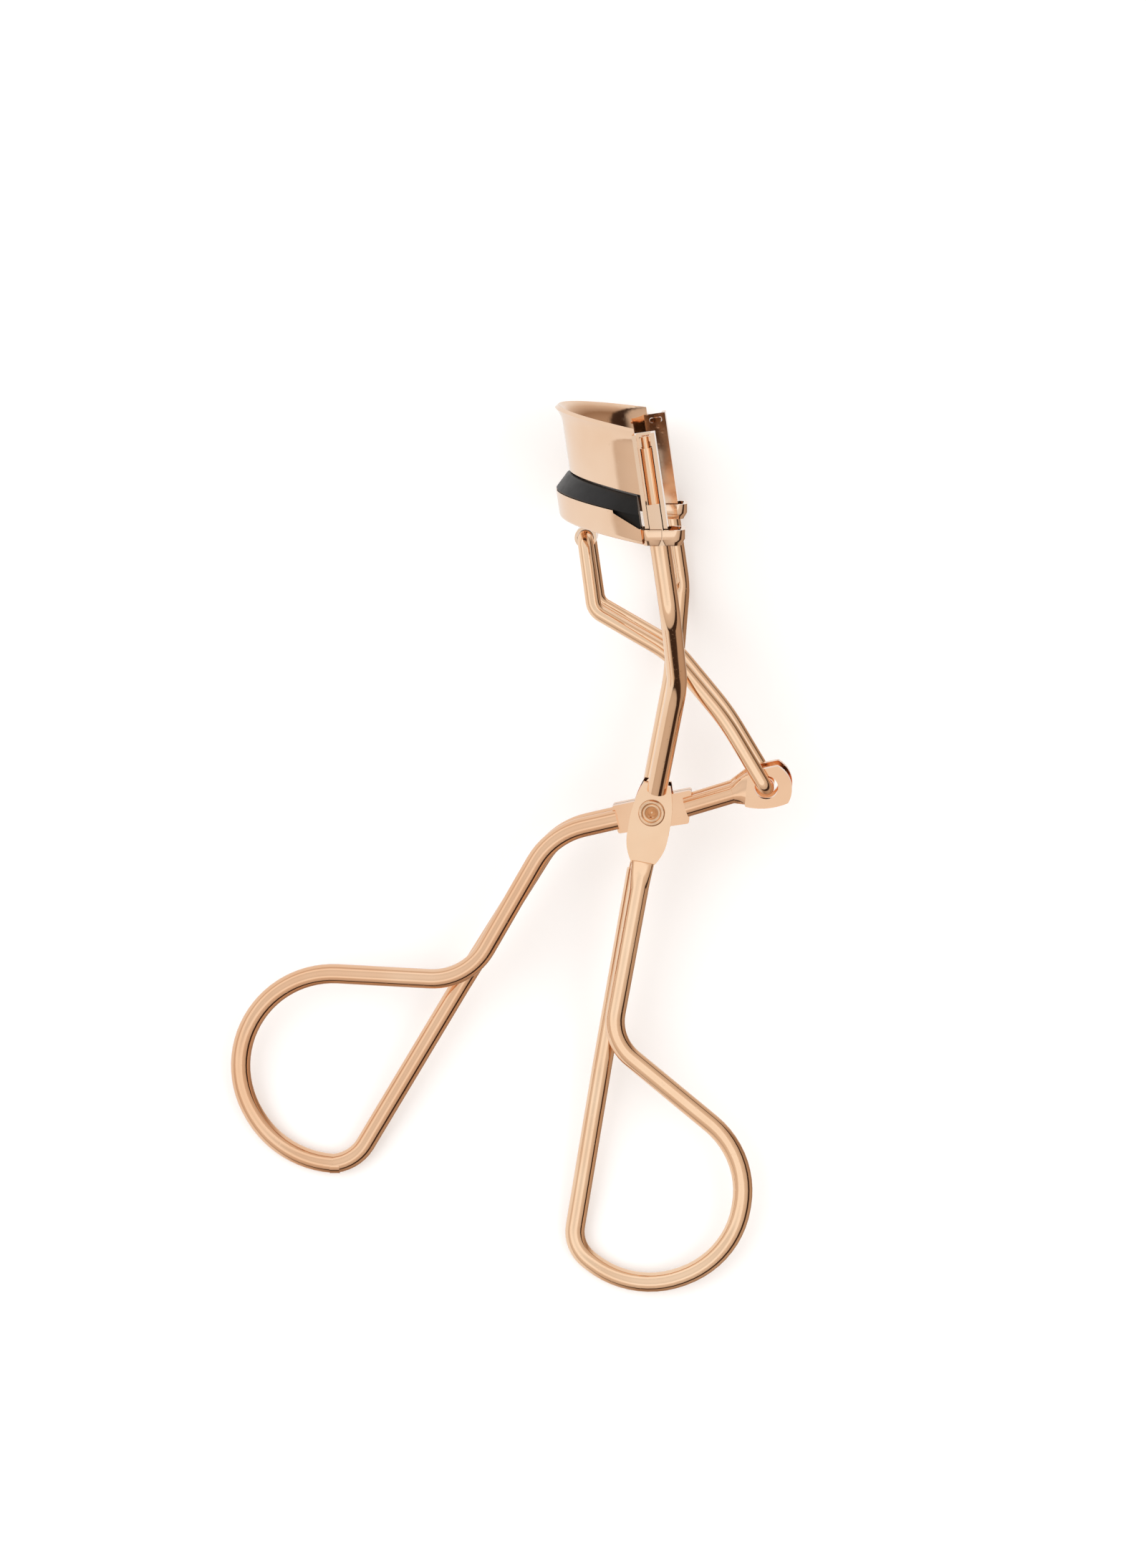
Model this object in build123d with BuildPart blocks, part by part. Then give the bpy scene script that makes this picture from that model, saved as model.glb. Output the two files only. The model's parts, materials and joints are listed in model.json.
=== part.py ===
from build123d import *
import os
from math import cos, radians, sin

# Eyelash curler of bent wire and stamped sheet, lying on its side.
#
# The pieces are drawn in a flat frame: the XY plane is the mid-plane of the curler, the pivot is at
# the origin, the head is up +Y, and the near half of each wire is at +Z, the far half at -Z.
# At the end every piece is laid down on its far side, with the middle of the whole object's box at
# the origin and the table at Z = 0. All sizes are in millimetres.

# ---- Wires -----------------------------------------------------------------------------------
wire_diameter = 2.35
strand_height = 1.25  # distance of each strand's centre from the mid-plane
link_diameter = 1.8

# ---- Pivot -----------------------------------------------------------------------------------
rivet_diameter = 2.4
rivet_head_diameter = 3.15
frame_hole_diameter = 2.44
lever_bore_diameter = 2.5
pad_thickness = 1.1
pad_face = strand_height + wire_diameter / 2 + 0.03  # outer face of the frame's flat pads
pad_bevel = 0.28
pad_tilt = -10.4  # degrees, the pads' long axis against +Y
block_inner = 0.08
block_outer = pad_face - pad_thickness - 0.1

# ---- Ears and link ---------------------------------------------------------------------------
ear_centre = (13.5, 3.2)
ear_hole_diameter = 2.76
ear_inner = 1.62
ear_outer = 2.72
link_leg_height = 3.75  # distance of the link's legs from the mid-plane at the ears
link_top_height = 3.15  # and at the crossbar
link_hook_tip = 0.95

# ---- Head ------------------------------------------------------------------------------------
slide_lean = 8.1  # degrees, the slide direction against +Y
column_forward = -6.25  # the arms' place in the head, along the forward direction
column_height = 14.5  # distance of the arms from the mid-plane in the head
edge_forward = 3.77  # front face of the upper plate at the middle
edge_rise = 41.4  # lower edge of the upper plate at the middle
arch_radius = 17.5  # plan radius of the upper plate's front face
arch_fall = 0.33  # fall of the arched edges for each millimetre that the plate runs back
arch_stations = [-64, -48, -32, -16, 0, 16, 32, 48, 64]  # degrees from the middle
sheet = 0.55
guide_diameter = 1.4
guide_top = 43.7
channel_front = -4.9
channel_back = -7.45
channel_web = 13.0
channel_rim = 15.9
channel_low = 33.9
channel_high = 45.4
collar_front = -4.0
collar_depth = 4.9
collar_height = 1.8
collar_wall = 0.5
collar_low = 32.65  # height of the cup's underside on the arm's centre line

# ---- Rest on the table -----------------------------------------------------------------------
rest_tilt = 10.3  # degrees between the mid-plane and the table
rest_heading = 20.8  # degrees, the downhill direction against -Y

forward = Vector(-cos(radians(slide_lean)), -sin(radians(slide_lean)), 0)
slide = Vector(-sin(radians(slide_lean)), cos(radians(slide_lean)), 0)
# In the head plane x is forward, y is away from the mid-plane, and z rises along the slide.
head = Plane(origin=(0, 0, 0), x_dir=forward, z_dir=slide)


def head_point(ahead, depth, rise):
    """A point of the head, given in the head plane's directions."""
    return head.from_local_coords(Vector(ahead, depth, rise))


def bend(points, radii, diameter):
    """Round wire along straight runs joined by tangent arcs."""
    with BuildLine() as route:
        if radii:
            FilletPolyline(*points, radius=radii)
        else:
            Polyline(*points)
    path = route.wire()
    with BuildSketch(Plane(origin=path @ 0, z_dir=path % 0)) as section:
        Circle(diameter / 2)
    sweep(sections=section.sketch, path=path)


def ring_corners(centre, radius, first, last, count, height):
    """Corners of the open polygon around a circular arc between two angles, in degrees."""
    step = (last - first) / count
    reach = radius / cos(radians(step / 2))
    corners = []
    for index in range(count):
        angle = radians(first + step * (index + 0.5))
        corners.append((centre[0] + reach * cos(angle), centre[1] + reach * sin(angle), height))
    return corners


def flatten(start, end, diameter, width, thickness):
    """Wire pressed from its round section into a flat one, started just inside the round wire."""
    with BuildSketch(start) as round_end:
        Circle(diameter / 2 - 0.08)
    with BuildSketch(end) as flat_end:
        RectangleRounded(width, thickness, thickness * 0.42)
    loft(sections=[round_end.sketch, flat_end.sketch])


def mirrored(point):
    return (point[0], point[1], -point[2])


# ---- Frame handle: one wire from the near guide, round the finger loop, to the far guide ------
frame_loop_centre = (-0.6, -46.5)
frame_loop_radius = 11.3
frame_near_route = [
    (-1.25, -7.4, strand_height),
    (-5.0, -27.75, strand_height),
    *ring_corners(frame_loop_centre, frame_loop_radius, 50, -128, 3, 0.1),
    (-9.86, -53.6, -0.3),
    (-6.1, -31.0, -strand_height),
    (-1.95, -7.4, -strand_height),
]
frame_loop_radii = [6, 11, 11, 11, 4.3, 40]
arm_radii = [14, 4.5]
near_arm = [
    (0.62, 2.7, 2.15),
    (3.35, 16.2, 8.3),
    head_point(column_forward, column_height, 24.4),
    head_point(column_forward, column_height, 32.6),
]
far_arm = [
    (-0.1, 2.7, -2.15),
    (2.1, 14.6, -7.9),
    head_point(column_forward, -column_height, 24.2),
    head_point(column_forward, -column_height, 32.6),
]
pad_frame = Plane.XY.rotated((0, 0, pad_tilt))

with BuildPart() as frame_handle:
    bend(frame_near_route, frame_loop_radii, wire_diameter)
    bend(near_arm, arm_radii, wire_diameter)
    bend(far_arm, arm_radii, wire_diameter)
    for side, neck_shift in ((1, 0.0), (-1, -0.6)):
        pad_back = Plane(
            origin=(0, 0, side * (pad_face - pad_thickness)), x_dir=pad_frame.x_dir, z_dir=(0, 0, side)
        )
        with BuildSketch(pad_back) as pad_outline:
            with BuildLine():
                top = Line((-1.6, 3.45), (1.6, 3.45))
                right = ThreePointArc(top @ 1, (2.33, 0.5), (2.42, -2.4))
                low_right = ThreePointArc(right @ 1, (2.12, -4.7), (1.25, -6.35))
                low = Line(low_right @ 1, (-1.25, -6.35))
                low_left = ThreePointArc(low @ 1, (-2.12, -4.7), (-2.42, -2.4))
                ThreePointArc(low_left @ 1, (-2.33, 0.5), top @ 0)
            make_face()
            if side < 0:
                mirror(about=Plane.XZ, mode=Mode.REPLACE)
        extrude(amount=pad_thickness - pad_bevel)
        with BuildSketch(pad_back.offset(pad_thickness - pad_bevel)):
            add(pad_outline.sketch_local)
        extrude(amount=pad_bevel, taper=42)
        strand_x = -1.25 if side > 0 else -1.95
        flatten(
            Plane(origin=(strand_x - 0.55, -10.4, side * strand_height), z_dir=(0.18, 1, 0)),
            Plane(
                origin=(-1.06 + neck_shift * 0.3, -5.9, side * (pad_face - pad_thickness / 2)),
                x_dir=(1, -0.18, 0),
                z_dir=(0.18, 1, 0),
            ),
            wire_diameter,
            2.7,
            pad_thickness,
        )
        # Thin guide on the end of the arm, its neck, and the foot staked in the web's slot.
        depth = side * column_height
        with BuildSketch(Plane(origin=head_point(column_forward, depth, 32.5), z_dir=slide)):
            Circle(wire_diameter / 2)
        with BuildSketch(Plane(origin=head_point(column_forward, depth, 33.7), z_dir=slide)):
            Circle(guide_diameter / 2)
        loft()
        with BuildSketch(Plane(origin=head_point(column_forward, depth, 33.6), z_dir=slide)):
            Circle(guide_diameter / 2)
        extrude(amount=guide_top - 33.6)
        with BuildSketch(Plane(origin=head_point(column_forward, depth, guide_top), z_dir=slide)):
            Circle(0.45)
        extrude(amount=1.3)
        foot = head_point(column_forward, depth, guide_top + 0.95)
        with BuildSketch(Plane(origin=foot, x_dir=forward, z_dir=(0, 0, -side))):
            RectangleRounded(1.4, 0.52, 0.2)
        extrude(amount=column_height - channel_web + 0.35)
    with Locations(Plane.XY.offset(pad_face)):
        CounterBoreHole(
            radius=frame_hole_diameter / 2,
            counter_bore_radius=rivet_head_diameter / 2 + 0.02,
            counter_bore_depth=0.45,
            depth=pad_thickness + 0.2,
        )
    with Locations(Plane.XY.offset(-pad_face).rotated((180, 0, 0))):
        CounterBoreHole(
            radius=frame_hole_diameter / 2,
            counter_bore_radius=rivet_head_diameter / 2 + 0.02,
            counter_bore_depth=0.45,
            depth=pad_thickness + 0.2,
        )

# ---- Lever handle: one wire from the near ear, round the finger loop, to the far ear ----------
lever_loop_centre = (-37.7, -31.7)
lever_loop_radius = 11.9
lever_route = [
    (-4.1, -0.95, strand_height),
    (-11.9, -2.8, strand_height),
    (-22.1, -20.6, strand_height),
    *ring_corners(lever_loop_centre, lever_loop_radius, 90, 270, 3, 0.1),
    (-36.2, -43.6, -0.3),
    (-22.9, -21.3, -strand_height),
    (-11.3, -2.65, -strand_height),
    (-4.1, -0.95, -strand_height),
]
lever_radii = [9, 7.5, 11.6, 11.6, 11.6, 5, 40, 9]

with BuildPart() as lever_handle:
    bend(lever_route, lever_radii, wire_diameter)
    for side in (1, -1):
        base = block_inner if side > 0 else -block_outer
        with BuildSketch(Plane.XY.offset(base)) as block_outline:
            with BuildLine():
                Polyline((-4.8, 0.6), (4.67, 2.6), (4.35, -1.4), (-4.0, -2.66), close=True)
            make_face()
            fillet(block_outline.vertices(), 0.3)
        extrude(amount=block_outer - block_inner)
        bend(
            [(4.0, 0.55, side * strand_height), (9.6, 2.3, side * 1.45)],
            [],
            wire_diameter,
        )
        flatten(
            Plane(origin=(9.2, 2.17, side * 1.44), z_dir=(1, 0.31, 0)),
            Plane(
                origin=(11.6, 3.0, side * (ear_inner + ear_outer) / 2),
                x_dir=(-0.1, 1, 0),
                z_dir=(1, 0.1, 0),
            ),
            wire_diameter,
            4.1,
            ear_outer - ear_inner,
        )
        ear_base = ear_inner if side > 0 else -ear_outer
        with BuildSketch(Plane.XY.offset(ear_base)) as ear_outline:
            with BuildLine():
                left = Line((11.35, 5.0), (10.95, 0.9))
                low = ThreePointArc(left @ 1, (13.6, 0.72), (16.05, 1.35))
                nose = ThreePointArc(low @ 1, (16.35, 3.9), (14.8, 5.75))
                Line(nose @ 1, left @ 0)
            make_face()
            fillet(ear_outline.vertices(), 0.22)
        extrude(amount=ear_outer - ear_inner)
    Cylinder(lever_bore_diameter / 2, 4 * wire_diameter, mode=Mode.SUBTRACT)
    with Locations(Plane(origin=(*ear_centre, 0))):
        Cylinder(ear_hole_diameter / 2, 4 * wire_diameter, mode=Mode.SUBTRACT)

# ---- Pivot rivet: shank, two flush heads with a rolled rim and a dimple ----------------------
with BuildPart() as pivot_rivet:
    with BuildSketch(Plane.XZ):
        with BuildLine():
            low = Line((0, 0), (rivet_diameter / 2, 0))
            shank = Line(low @ 1, (rivet_diameter / 2, pad_face - 0.43))
            under = Line(shank @ 1, (rivet_head_diameter / 2, pad_face - 0.43))
            rim = Line(under @ 1, (rivet_head_diameter / 2, pad_face - 0.05))
            crown = ThreePointArc(rim @ 1, (1.33, pad_face + 0.16), (1.08, pad_face - 0.02))
            ledge = ThreePointArc(crown @ 1, (0.92, pad_face + 0.05), (0.72, pad_face - 0.08))
            dimple = Line(ledge @ 1, (0, pad_face - 0.75))
            Line(dimple @ 1, low @ 0)
        make_face()
    revolve(axis=Axis.Z)
    mirror(about=Plane.XY)

# ---- Upper jaw: arched plate with a flared lip, folded into a guide channel at each end ------
def station(angle):
    """Upright plane across the arched edge, at an angle in degrees from the middle.

    Its x runs outwards from the plate's front face, and its y up the slide from the lower edge.
    """
    turn = radians(angle)
    sag = arch_radius * (1 - cos(turn))
    outwards = forward * cos(turn) + Vector(0, 0, 1) * sin(turn)
    foot = head_point(edge_forward - sag, arch_radius * sin(turn), edge_rise - arch_fall * sag)
    return Plane(origin=foot, x_dir=outwards, z_dir=outwards.cross(slide))


def arched(profile):
    """Carry an upright profile along the arched edge."""
    loft(sections=[profile(station(angle)) for angle in arch_stations])


def plate_profile(plane):
    with BuildSketch(plane) as section:
        with BuildLine():
            front = Line((0, 0), (0, 5.6))
            flare = ThreePointArc(front @ 1, (0.16, 6.6), (0.62, 7.45))
            tip = Line(flare @ 1, (0.2, 7.72))
            back_flare = ThreePointArc(tip @ 1, (-0.36, 6.7), (-sheet, 5.6))
            back = Line(back_flare @ 1, (-sheet, 0))
            Line(back @ 1, front @ 0)
        make_face()
    return section.sketch


def trough_profile(plane):
    with BuildSketch(plane) as section:
        with BuildLine():
            front = Line((1.9, -2.0), (1.9, floor_drop + 0.6))
            turn = ThreePointArc(front @ 1, (1.724, floor_drop + 0.176), (1.3, floor_drop))
            under = Line(turn @ 1, (-1.9, floor_drop))
            back = Line(under @ 1, (-1.9, -2.3))
            back_rim = Line(back @ 1, (-1.9 + sheet, -2.3))
            inner_back = Line(back_rim @ 1, (-1.9 + sheet, floor_top))
            floor = Line(inner_back @ 1, (0.95, floor_top))
            inner_front = Line(floor @ 1, (1.9 - sheet, floor_top + 0.4))
            inner_wall = Line(inner_front @ 1, (1.9 - sheet, -2.0))
            Line(inner_wall @ 1, front @ 0)
        make_face()
    return section.sketch


def lash_pad_profile(plane):
    with BuildSketch(plane) as section:
        with BuildLine():
            foot = Line((1.3, floor_top + 0.45), (1.3, -1.97))
            lip_low = Line(foot @ 1, (1.78, -1.97))
            lip = Line(lip_low @ 1, (1.82, -1.8))
            slope = Line(lip @ 1, (0.35, -0.32))
            crown = ThreePointArc(slope @ 1, (-0.3, -0.22), (-0.85, -0.32))
            back_slope = Line(crown @ 1, (-1.82, -2.1))
            back_low = Line(back_slope @ 1, (-1.82, -2.27))
            back_lip = Line(back_low @ 1, (-1.3, -2.27))
            back_foot = Line(back_lip @ 1, (-1.3, floor_top + 0.02))
            base = Line(back_foot @ 1, (0.9, floor_top + 0.02))
            Line(base @ 1, foot @ 0)
        make_face()
    return section.sketch


floor_drop = -5.4  # underside of the trough against the plate's lower edge
floor_top = floor_drop + sheet
front_half = Plane(origin=head_point(channel_front - 0.3, 0, 0), z_dir=forward)
jaw_front = Plane(origin=head_point(-4.45, 0, 0), z_dir=forward)

with BuildPart() as upper_jaw:
    arched(plate_profile)
    split(bisect_by=front_half, keep=Keep.TOP)
    for side in (1, -1):
        with BuildSketch(Plane(origin=head_point(0, 0, channel_low), x_dir=forward, z_dir=slide)):
            with BuildLine():
                Polyline(
                    (channel_front, side * channel_rim),
                    (channel_front, side * channel_web),
                    (channel_back, side * channel_web),
                    (channel_back, side * channel_rim),
                    (channel_back + 0.45, side * channel_rim),
                    (channel_back + 0.45, side * (channel_web + 0.45)),
                    (channel_front - 0.45, side * (channel_web + 0.45)),
                    (channel_front - 0.45, side * channel_rim),
                    close=True,
                )
            make_face()
        extrude(amount=channel_high - channel_low)
        slot_middle = head_point(column_forward, side * (channel_web - 1), guide_top + 0.95)
        with BuildSketch(Plane(origin=slot_middle, x_dir=forward, z_dir=(0, 0, side))):
            RectangleRounded(1.5, 0.62, 0.25)
        extrude(amount=2.0, mode=Mode.SUBTRACT)

# ---- Lower jaw: arched trough, with a cupped collar and a slider tongue at each end ----------
cup_relief = [(-3.85, 30.0), (-3.85, 35.0), (-5.0, 35.0), (-5.0, 30.0)]
side_dip = [(-1.5, 36.95), (-4.3, 34.9), (-5.0, 34.9), (-5.0, 41.0), (-1.5, 41.0)]
# The collar's two lobes meet in a seam that opens into a notch at the bottom.
collar_seam = [(-0.4, -0.1), (0.4, -0.1), (0.06, 0.7), (0.06, 2.2), (-0.06, 2.2), (-0.06, 0.7)]
with BuildPart() as lower_jaw:
    arched(trough_profile)
    split(bisect_by=jaw_front, keep=Keep.TOP)
    with BuildSketch(Plane(origin=(0, 0, -20), x_dir=forward, z_dir=(0, 0, -1))):
        with BuildLine():
            Polyline(*side_dip, close=True)
        make_face()
    extrude(amount=-40, mode=Mode.SUBTRACT)
    for side, collar_length in ((1, 5.15), (-1, 4.3)):
        cup_middle = head_point(collar_front - collar_length / 2, side * 14.65, collar_low)
        cup = Plane(origin=cup_middle, x_dir=(-1, 0, 0), z_dir=(0, 1, 0))
        with BuildSketch(cup):
            RectangleRounded(collar_length - 0.9, collar_depth - 0.9, 0.75)
        with BuildSketch(cup.offset(0.75)):
            RectangleRounded(collar_length, collar_depth, 1.2)
        loft()
        with BuildSketch(cup.offset(0.75)):
            RectangleRounded(collar_length, collar_depth, 1.2)
        extrude(amount=collar_height - 0.75)
        with BuildSketch(cup.offset(0.6)):
            RectangleRounded(collar_length - 2 * collar_wall, collar_depth - 2 * collar_wall, 0.5)
        extrude(amount=5, mode=Mode.SUBTRACT)
        outer_wall = cup_middle + Vector(0, 0, side * (collar_depth / 2 + 0.2))
        with BuildSketch(Plane(origin=outer_wall, x_dir=(-side, 0, 0), z_dir=(0, 0, -side))):
            with BuildLine():
                Polyline(*collar_seam, close=True)
            make_face()
        extrude(amount=0.9, mode=Mode.SUBTRACT)
        bore_foot = head_point(column_forward, side * column_height, collar_low - 2)
        with BuildSketch(Plane(origin=bore_foot, x_dir=forward, z_dir=slide)):
            Circle(wire_diameter / 2 + 0.09)
        extrude(amount=4, mode=Mode.SUBTRACT)
        tongue_foot = head_point(column_forward + 0.07, side * 16.02, collar_low + 0.4)
        with BuildSketch(Plane(origin=tongue_foot, x_dir=forward, z_dir=slide)):
            Rectangle(1.45, 0.56)
        extrude(amount=37.4 - collar_low - 0.4)

# ---- Lash pad: rubber strip in the trough, its sloped faces meeting the plate's edge ----------
with BuildPart() as lash_pad:
    arched(lash_pad_profile)
    split(bisect_by=jaw_front, keep=Keep.TOP)
    with BuildSketch(Plane(origin=(0, 0, -20), x_dir=forward, z_dir=(0, 0, -1))):
        with BuildLine():
            Polyline(*cup_relief, close=True)
        make_face()
    extrude(amount=-40, mode=Mode.SUBTRACT)

# ---- Link yoke: one wire, hooked in both ears, with its crossbar in the bracket ---------------
crossbar = (3.0, 33.3)  # forward and rise of the crossbar in the head
crossbar_near = head_point(crossbar[0], link_top_height, crossbar[1])
crossbar_far = head_point(crossbar[0], -link_top_height, crossbar[1])
half_link = [
    (ear_centre[0], ear_centre[1], link_hook_tip),
    (ear_centre[0], ear_centre[1], link_leg_height),
    (8.7, 11.3, link_leg_height),
    (2.3, 19.1, 3.8),
    (-6.55, 24.25, 3.8),
]
link_points = [
    *half_link,
    crossbar_near,
    crossbar_far,
    *[mirrored(point) for point in reversed(half_link)],
]
half_radii = [1.0, 30, 12, 1.9]
link_radii = [*half_radii, 1.1, 1.1, *reversed(half_radii)]
with BuildPart() as link_yoke:
    bend(link_points, link_radii, link_diameter)

# ---- Link bracket: folded tab under the trough, curled round the crossbar ---------------------
bracket_half_width = 2.0
eye_inner = link_diameter / 2 + 0.06
eye_outer = eye_inner + 0.32
tab_rise = edge_rise + floor_drop - 0.12 - crossbar[1]
bracket_plane = Plane(
    origin=head_point(crossbar[0], -bracket_half_width, crossbar[1]), x_dir=forward, z_dir=(0, 0, 1)
)
with BuildPart() as link_bracket:
    with BuildSketch(bracket_plane):
        Circle(eye_outer)
        # x runs forward and y runs down the slide in this plane.
        with Locations((-eye_outer + 0.25, -tab_rise / 2)):
            Rectangle(0.5, tab_rise)
        with Locations((-0.05, 0.25 - tab_rise)):
            Rectangle(2 * eye_outer + 0.4, 0.5)
        Circle(eye_inner, mode=Mode.SUBTRACT)
    extrude(amount=2 * bracket_half_width)

# ---- Lay the curler down and write its pieces ------------------------------------------------
pieces = {
    "frame_handle": frame_handle,
    "lever_handle": lever_handle,
    "pivot_rivet": pivot_rivet,
    "upper_jaw": upper_jaw,
    "lower_jaw": lower_jaw,
    "lash_pad": lash_pad,
    "link_yoke": link_yoke,
    "link_bracket": link_bracket,
}
hinge_line = Axis((0, 0, 0), (cos(radians(rest_heading)), -sin(radians(rest_heading)), 0))
tilted = [piece.part.rotate(hinge_line, rest_tilt) for piece in pieces.values()]
box = Compound(tilted).bounding_box()
settle = Location((-box.center().X, -box.center().Y, -box.min.Z))

os.makedirs("parts", exist_ok=True)
for (name, piece), lying in zip(pieces.items(), tilted):
    piece.part = lying.moved(settle)
    piece.part.label = name
    export_step(piece.part, f"parts/{name}.step")
print("pivot moved by", settle.position)
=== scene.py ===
import json
import math

import bpy
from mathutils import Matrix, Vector

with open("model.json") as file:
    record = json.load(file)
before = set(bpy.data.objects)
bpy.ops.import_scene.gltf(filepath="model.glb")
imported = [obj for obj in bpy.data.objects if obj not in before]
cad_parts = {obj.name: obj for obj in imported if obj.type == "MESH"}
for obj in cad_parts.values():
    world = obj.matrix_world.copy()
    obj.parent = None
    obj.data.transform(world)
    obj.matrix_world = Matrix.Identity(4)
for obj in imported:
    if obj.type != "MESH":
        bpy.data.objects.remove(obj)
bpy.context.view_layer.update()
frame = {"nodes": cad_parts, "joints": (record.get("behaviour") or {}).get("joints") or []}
scene = bpy.context.scene
nodes = frame["nodes"]
pivot = Vector(next(j["pos_m"] for j in frame["joints"] if j["name"] == "lever_pivot"))


MM_PER_M = 1000
BLACK = (0, 0, 0, 1)
WHITE = (1, 1, 1, 1)
CREASE = math.radians(32)  # gentler edges than this are shaded smooth
FLOOR_SIZE = 4.0
FLOOR_GAP = 0.0002  # keeps the floor clear of the wires that lie on it
CAMERA_OFFSET = Vector((-0.009404, 0.003057, 0.5))  # from the pivot
FOCAL_LENGTH = 97.0


# ---- Small node helpers ------------------------------------------------------------------------
def new_material(name):
    material = bpy.data.materials.new(name)
    material.use_nodes = True
    tree = material.node_tree
    return material, tree, tree.nodes["Principled BSDF"]


def add(tree, kind, **sockets):
    """Add a node, and set its inputs by name, with spaces written as underscores."""
    node = tree.nodes.new(kind)
    for name, value in sockets.items():
        node.inputs[name.replace("_", " ")].default_value = value
    return node


def ramp(tree, source, stops):
    node = tree.nodes.new("ShaderNodeValToRGB")
    points = node.color_ramp.elements
    points[0].position, points[0].color = stops[0]
    points[1].position, points[1].color = stops[-1]
    for position, color in stops[1:-1]:
        points.new(position).color = color
    tree.links.new(source, node.inputs["Fac"])
    return node.outputs["Color"]


def remap(tree, source, low, high):
    node = add(tree, "ShaderNodeMapRange", To_Min=low, To_Max=high)
    tree.links.new(source, node.inputs["Value"])
    return node.outputs["Result"]


def object_space(tree, scale=(1, 1, 1)):
    """Object coordinates in millimetres, stretched by a scale."""
    place = tree.nodes.new("ShaderNodeTexCoord")
    mapping = add(tree, "ShaderNodeMapping", Scale=tuple(MM_PER_M * s for s in scale))
    tree.links.new(place.outputs["Object"], mapping.inputs["Vector"])
    return mapping.outputs["Vector"]


def blend(tree, factor, first, second):
    """Mix from a linked colour towards a second one, which is linked or plain."""
    node = tree.nodes.new("ShaderNodeMix")
    node.data_type = "RGBA"
    tree.links.new(factor, node.inputs["Factor"])
    tree.links.new(first, node.inputs["A"])
    if isinstance(second, tuple):
        node.inputs["B"].default_value = second
    else:
        tree.links.new(second, node.inputs["B"])
    return node.outputs["Result"]


def noise(tree, vector, scale, detail=3.0, rough=0.55):
    node = add(tree, "ShaderNodeTexNoise", Scale=scale, Detail=detail, Roughness=rough)
    tree.links.new(vector, node.inputs["Vector"])
    return node.outputs["Fac"]


def bump(tree, heights, target):
    """Stack bumps, each a height output, a strength and a distance in metres."""
    normal = None
    for height, strength, distance in heights:
        node = add(tree, "ShaderNodeBump", Strength=strength, Distance=distance)
        tree.links.new(height, node.inputs["Height"])
        if normal is not None:
            tree.links.new(normal, node.inputs["Normal"])
        normal = node.outputs["Normal"]
    tree.links.new(normal, target.inputs["Normal"])


# ---- Materials -----------------------------------------------------------------------------------
def rose_gold(name, pale, deep, polish, ripple, pits, grime=0.0):
    """Polished rose-gold plating over worked steel.

    The colour drifts between a pale and a deep tone, fine dust-like wear varies the polish, a soft
    ripple follows the worked metal, and sparse pits show where the plating covers the raw wire.
    Grime, from 0 to 1, darkens blotches of it.
    """
    material, tree, shader = new_material(name)
    shader.inputs["Metallic"].default_value = 1.0
    space = object_space(tree)
    drift = noise(tree, space, 0.12, 2.0)
    tone = ramp(tree, drift, [(0.3, (*deep, 1)), (0.7, (*pale, 1))])
    blotches = noise(tree, space, 0.9, 4.0, 0.6)
    soil = ramp(tree, blotches, [(0.42, BLACK), (0.62, (grime, grime, grime, 1))])
    soiled = blend(tree, soil, tone, (0.20, 0.10, 0.05, 1))
    tree.links.new(soiled, shader.inputs["Base Color"])
    wear = noise(tree, space, 1.4, 6.0, 0.7)
    tree.links.new(remap(tree, wear, *polish), shader.inputs["Roughness"])
    wave = noise(tree, space, 0.35, 1.0, 0.4)
    specks = noise(tree, space, 3.2, 4.0, 0.6)
    pit_mask = ramp(tree, specks, [(0.27, BLACK), (0.36, WHITE)])
    bump(tree, [(wave, ripple, 0.0002), (pit_mask, pits, 0.00002)], shader)
    return material


wire_metal = rose_gold(
    "rose_gold_wire", (0.95, 0.69, 0.48), (0.91, 0.62, 0.41), (0.03, 0.10), 0.05, 0.25
)
# The lever has the same plating as the frame; its deeper tone is painted shade for the darker look of
# its level ears, blocks and strands
lever_metal_painted_shade = rose_gold(
    "rose_gold_lever_painted_shade", (0.90, 0.61, 0.41), (0.86, 0.54, 0.34), (0.03, 0.10), 0.05, 0.25
)
sheet_metal = rose_gold(
    "rose_gold_sheet", (0.94, 0.71, 0.53), (0.90, 0.64, 0.45), (0.05, 0.13), 0.04, 0.12
)
rivet_metal = rose_gold(
    "rose_gold_rivet", (0.92, 0.65, 0.45), (0.86, 0.57, 0.36), (0.05, 0.14), 0.08, 0.4, 0.25
)


def moulded_rubber(name):
    """Black silicone rubber: a satin skin with lint, faint mould marks and a soft grain."""
    material, tree, shader = new_material(name)
    space = object_space(tree)
    cloud = noise(tree, space, 0.25, 3.0)
    tone = ramp(tree, cloud, [(0.3, (0.005, 0.005, 0.005, 1)), (0.75, (0.014, 0.014, 0.015, 1))])
    lint = noise(tree, space, 5.0, 5.0, 0.7)
    lint_mask = ramp(tree, lint, [(0.70, BLACK), (0.78, WHITE)])
    linted = blend(tree, lint_mask, tone, (0.16, 0.16, 0.16, 1))
    tree.links.new(linted, shader.inputs["Base Color"])
    skin = noise(tree, space, 0.9, 5.0, 0.65)
    tree.links.new(remap(tree, skin, 0.28, 0.50), shader.inputs["Roughness"])
    grain = noise(tree, space, 9.0, 3.0)
    bump(tree, [(skin, 0.12, 0.0001), (grain, 0.18, 0.00002)], shader)
    shader.inputs["Specular IOR Level"].default_value = 0.22
    return material


rubber = moulded_rubber("black_rubber")


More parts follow.
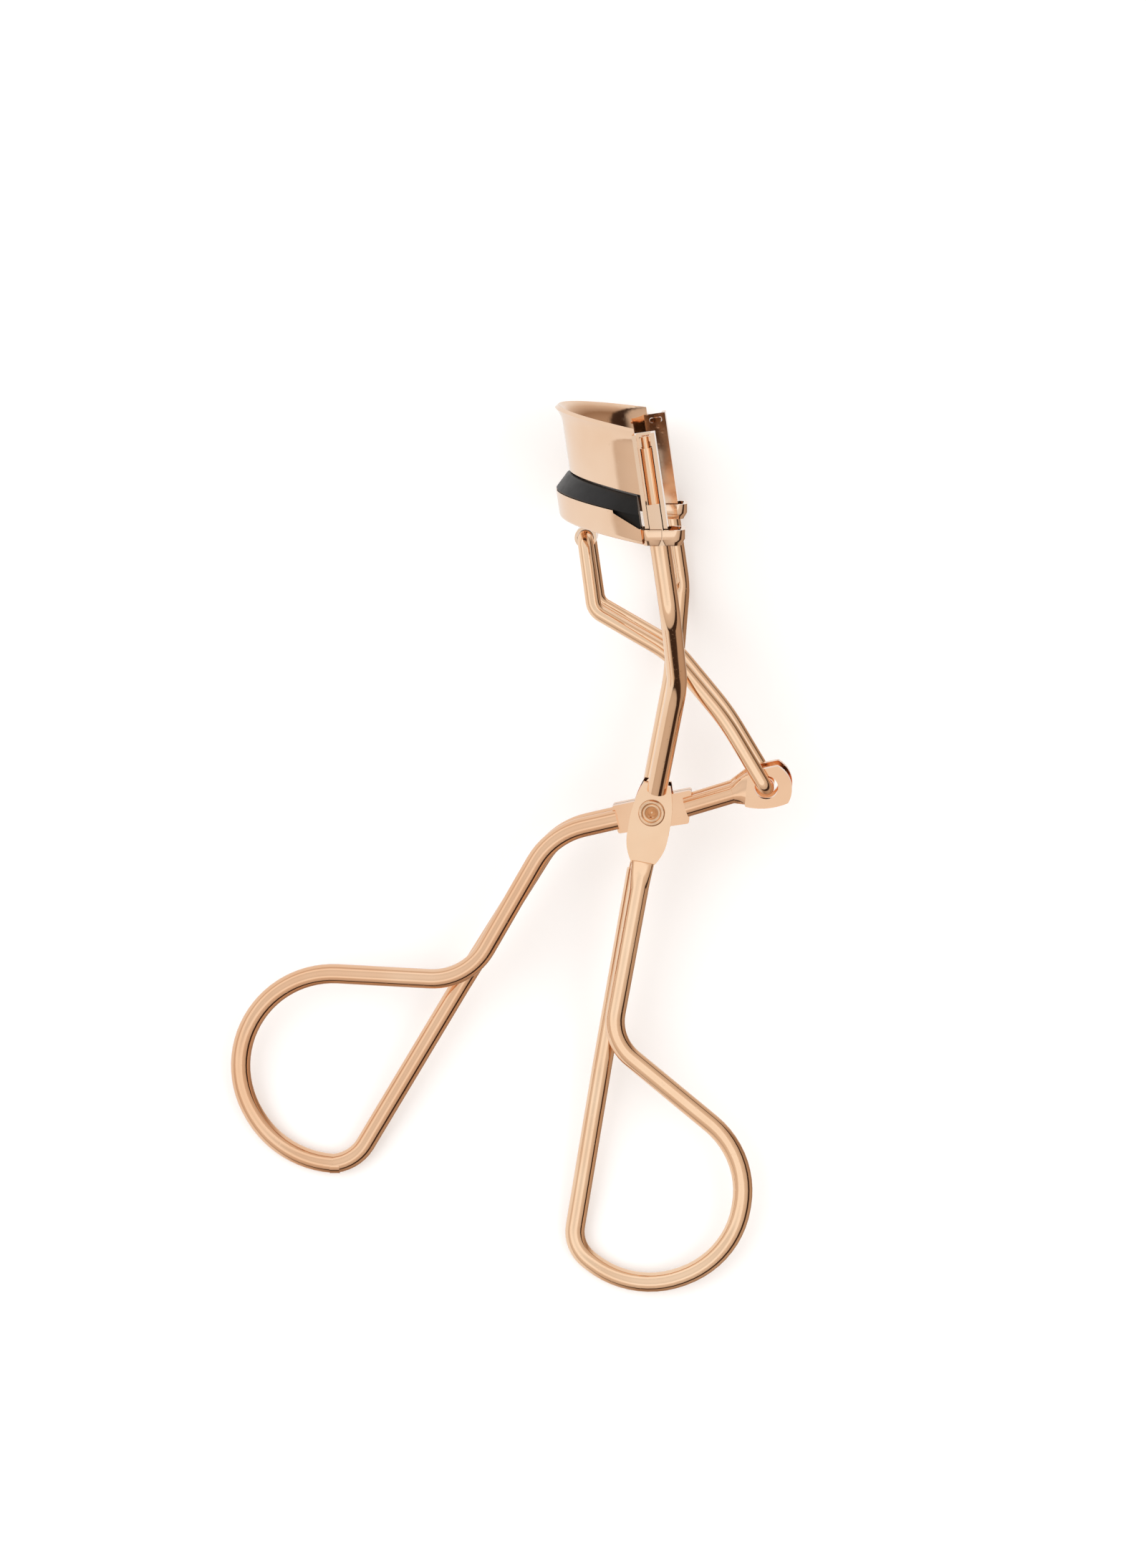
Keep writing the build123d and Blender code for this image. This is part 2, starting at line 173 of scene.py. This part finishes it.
# ---- Smooth shading over the CAD's facets -----------------------------------------------------
def smoothing(angle):
    """A modifier tree that joins the facets and shades them smooth, keeping real edges crisp."""
    group = bpy.data.node_groups.new("smooth_facets", "GeometryNodeTree")
    group.interface.new_socket("Geometry", in_out="INPUT", socket_type="NodeSocketGeometry")
    group.interface.new_socket("Geometry", in_out="OUTPUT", socket_type="NodeSocketGeometry")
    source = group.nodes.new("NodeGroupInput")
    result = group.nodes.new("NodeGroupOutput")
    merge = group.nodes.new("GeometryNodeMergeByDistance")
    merge.inputs["Distance"].default_value = 2e-7
    faces = group.nodes.new("GeometryNodeSetShadeSmooth")
    faces.domain = "FACE"
    edges = group.nodes.new("GeometryNodeSetShadeSmooth")
    edges.domain = "EDGE"
    turn = group.nodes.new("GeometryNodeInputMeshEdgeAngle")
    gentle = group.nodes.new("FunctionNodeCompare")
    gentle.data_type = "FLOAT"
    gentle.operation = "LESS_EQUAL"
    gentle.inputs["B"].default_value = angle
    group.links.new(source.outputs["Geometry"], merge.inputs["Geometry"])
    group.links.new(merge.outputs["Geometry"], faces.inputs["Geometry"])
    group.links.new(faces.outputs["Geometry"], edges.inputs["Geometry"])
    group.links.new(turn.outputs["Unsigned Angle"], gentle.inputs["A"])
    group.links.new(gentle.outputs["Result"], edges.inputs["Shade Smooth"])
    group.links.new(edges.outputs["Geometry"], result.inputs["Geometry"])
    return group


smooth_facets = smoothing(CREASE)


def finish_with(material, *names):
    """Give CAD nodes a material and smooth shading."""
    for name in names:
        piece = nodes[name]
        for slot in piece.material_slots:
            slot.material = material
        modifier = piece.modifiers.new("smooth_facets", "NODES")
        modifier.node_group = smooth_facets


finish_with(wire_metal, "frame_handle", "link_yoke")
finish_with(lever_metal_painted_shade, "lever_handle")
finish_with(sheet_metal, "upper_jaw", "lower_jaw", "link_bracket")
finish_with(rivet_metal, "pivot_rivet")
finish_with(rubber, "lash_pad")


# ---- Floor ---------------------------------------------------------------------------------------
def pale_floor():
    bpy.ops.mesh.primitive_plane_add(size=FLOOR_SIZE, location=(0, 0, -FLOOR_GAP))
    floor = bpy.context.object
    floor.name = "floor"
    material, tree, shader = new_material("pale_floor")
    space = object_space(tree, (0.01, 0.01, 0.01))
    mottle = noise(tree, space, 1.0, 2.0)
    tone = ramp(tree, mottle, [(0.3, (0.93, 0.93, 0.93, 1)), (0.7, (0.95, 0.95, 0.95, 1))])
    tree.links.new(tone, shader.inputs["Base Color"])
    tree.links.new(tone, shader.inputs["Emission Color"])
    shader.inputs["Emission Strength"].default_value = 0.12
    shader.inputs["Roughness"].default_value = 0.9
    shader.inputs["Specular IOR Level"].default_value = 0.1
    floor.data.materials.append(material)
    floor.visible_glossy = False


pale_floor()


# ---- Studio light ----------------------------------------------------------------------------------
def softbox(name, place, size, power):
    """An area light, in metres, that faces the curler and lights the table without glints."""
    light = bpy.data.lights.new(name, "AREA")
    light.shape = "RECTANGLE"
    light.size, light.size_y = size
    light.energy = power
    holder = bpy.data.objects.new(name, light)
    holder.location = place
    holder.rotation_euler = Vector(place).to_track_quat("Z", "Y").to_euler()
    holder.visible_glossy = False
    scene.collection.objects.link(holder)


softbox("key_left", (-0.75, 0.25, 0.95), (1.2, 1.2), 6.0)
softbox("fill_right", (0.9, -0.3, 0.9), (1.2, 1.2), 5.0)


def studio_world():
    """A tent whose panels polished metal shows as bands of cream and tan with dark seams.

    Above the table the bands go by height, leaning to the right and front, where the seams are.
    Below it they go from brown at the right and front to cream at the left and back. Seen directly,
    the tent is plain and pale.
    """
    world = bpy.data.worlds.new("studio")
    scene.world = world
    world.use_nodes = True
    tree = world.node_tree
    place = tree.nodes.new("ShaderNodeTexCoord")

    def across(direction, low, high):
        """How far the looked-at point lies along a direction, from 0 at low to 1 at high."""
        reach = tree.nodes.new("ShaderNodeVectorMath")
        reach.operation = "DOT_PRODUCT"
        reach.inputs[1].default_value = direction
        tree.links.new(place.outputs["Generated"], reach.inputs[0])
        span = add(tree, "ShaderNodeMapRange", From_Min=low, From_Max=high)
        tree.links.new(reach.outputs["Value"], span.inputs["Value"])
        return span.outputs["Result"]

    upper = ramp(
        tree,
        across((-0.32, 0.24, 1.0), -0.5, 1.1),
        [
            (0.0, (0.30, 0.20, 0.14, 1)),
            (0.06, (0.06, 0.035, 0.025, 1)),
            (0.30, (0.04, 0.022, 0.015, 1)),
            (0.35, (0.58, 0.49, 0.42, 1)),
            (0.70, (0.78, 0.69, 0.62, 1)),
            (0.75, (1.06, 1.06, 1.06, 1)),
            (0.85, (1.03, 1.03, 1.03, 1)),
            (0.90, (0.80, 0.79, 0.78, 1)),
            (1.0, (0.92, 0.92, 0.92, 1)),
        ],
    )
    lower = ramp(
        tree,
        across((-0.8, 0.6, 0.0), -0.9, 0.3),
        [
            (0.0, (0.50, 0.37, 0.28, 1)),
            (0.35, (0.32, 0.21, 0.14, 1)),
            (0.58, (0.66, 0.54, 0.45, 1)),
            (0.70, (0.88, 0.84, 0.81, 1)),
            (1.0, (0.92, 0.89, 0.87, 1)),
        ],
    )
    tent = blend(tree, across((0.0, 0.0, 1.0), -0.03, 0.03), lower, upper)
    reflected = tree.nodes["Background"]
    tree.links.new(tent, reflected.inputs["Color"])
    seen = add(tree, "ShaderNodeBackground", Color=(0.93, 0.93, 0.93, 1))
    ray = tree.nodes.new("ShaderNodeLightPath")
    chosen = tree.nodes.new("ShaderNodeMixShader")
    tree.links.new(ray.outputs["Is Camera Ray"], chosen.inputs["Fac"])
    tree.links.new(reflected.outputs["Background"], chosen.inputs[1])
    tree.links.new(seen.outputs["Background"], chosen.inputs[2])
    tree.links.new(chosen.outputs["Shader"], tree.nodes["World Output"].inputs["Surface"])


studio_world()
scene.view_settings.view_transform = "Standard"


# ---- Camera: straight above the table --------------------------------------------------------------
def camera_above():
    lens = bpy.data.cameras.new("camera")
    lens.sensor_width = 36.0
    lens.sensor_fit = "AUTO"
    lens.lens = FOCAL_LENGTH
    lens.clip_start = 0.05
    lens.clip_end = 10.0
    holder = bpy.data.objects.new("camera", lens)
    holder.location = pivot + CAMERA_OFFSET
    scene.collection.objects.link(holder)
    scene.camera = holder


camera_above()
